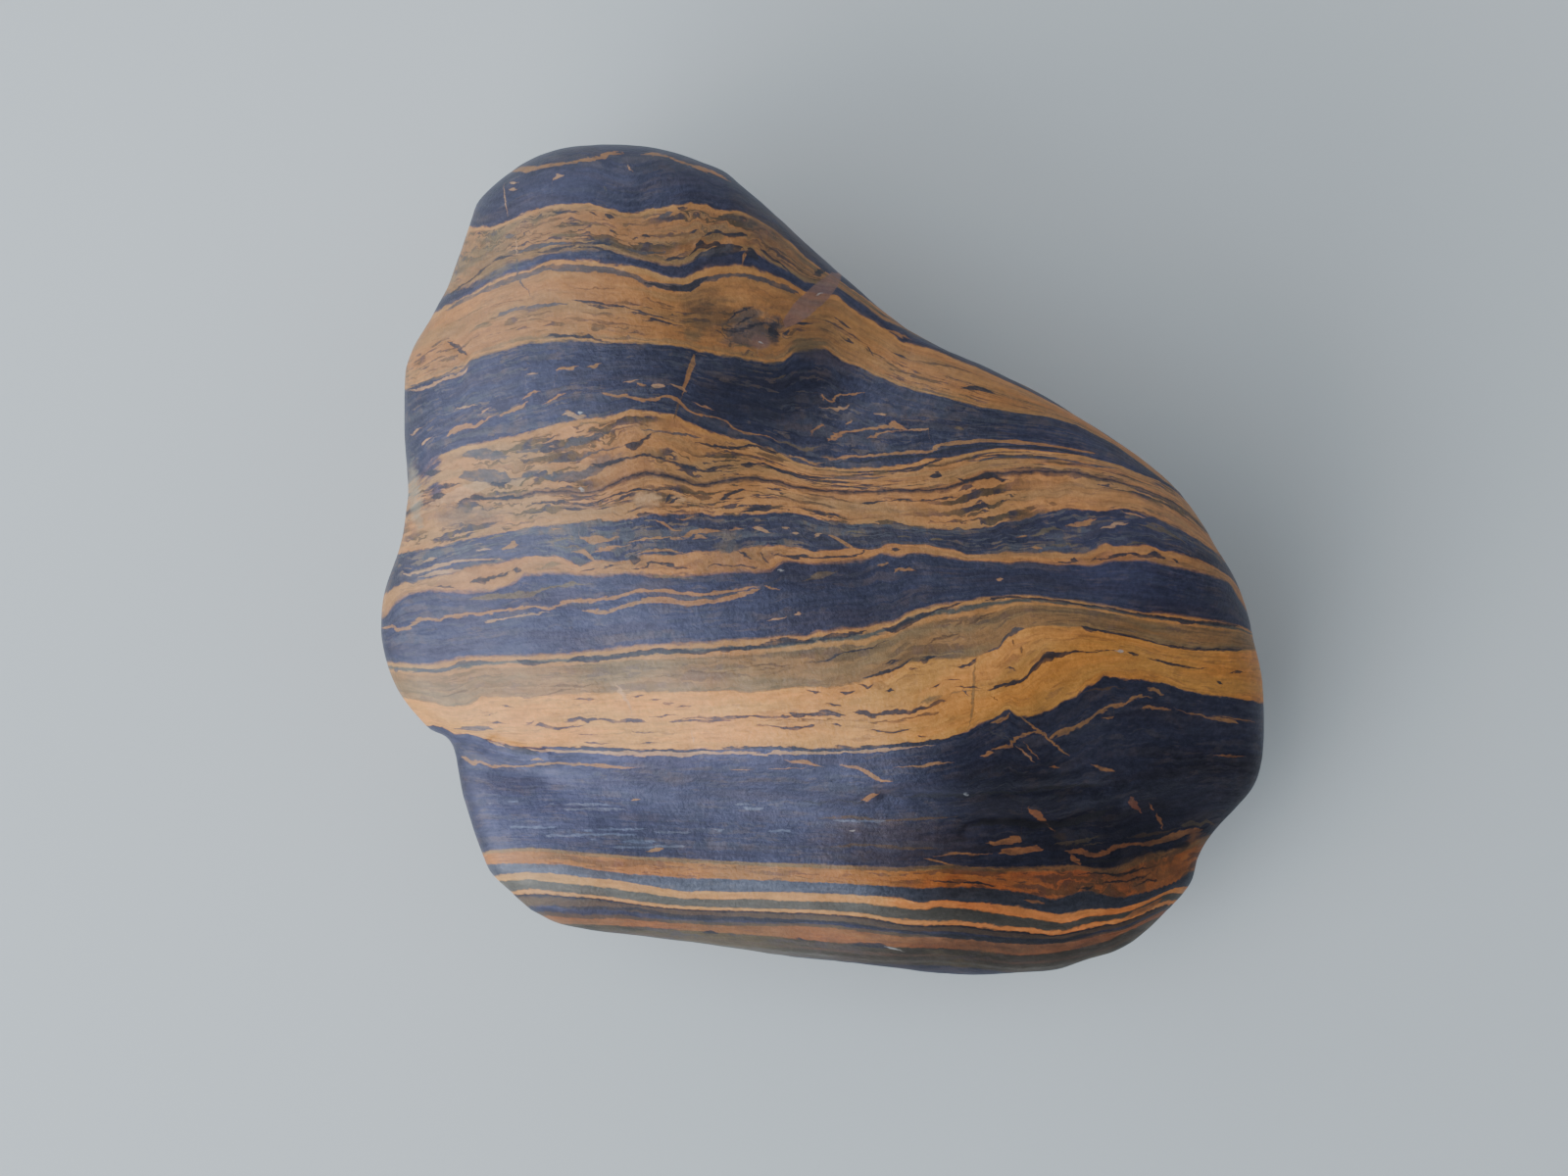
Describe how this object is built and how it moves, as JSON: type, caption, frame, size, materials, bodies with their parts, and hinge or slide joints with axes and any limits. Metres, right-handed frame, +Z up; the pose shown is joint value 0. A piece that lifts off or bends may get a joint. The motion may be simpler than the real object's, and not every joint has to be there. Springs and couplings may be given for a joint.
{
  "type": "rough tiger iron stone",
  "caption": "Water-worn hand specimen of rough tiger iron, a solid banded ironstone boulder that lies on a worn flat underside.",
  "frame": {"origin": "middle of the stone's box, on the surface that it lies on", "axes": "+X along the stone's longest side, to the right in the picture; +Y to the picture's top; +Z up out of the worn top"},
  "size_m": [0.12, 0.1128, 0.053],
  "materials": {
    "banded_ironstone": "satin"
  },
  "bodies": {
    "root": {"stone": "banded_ironstone"}
  },
  "joints": []
}
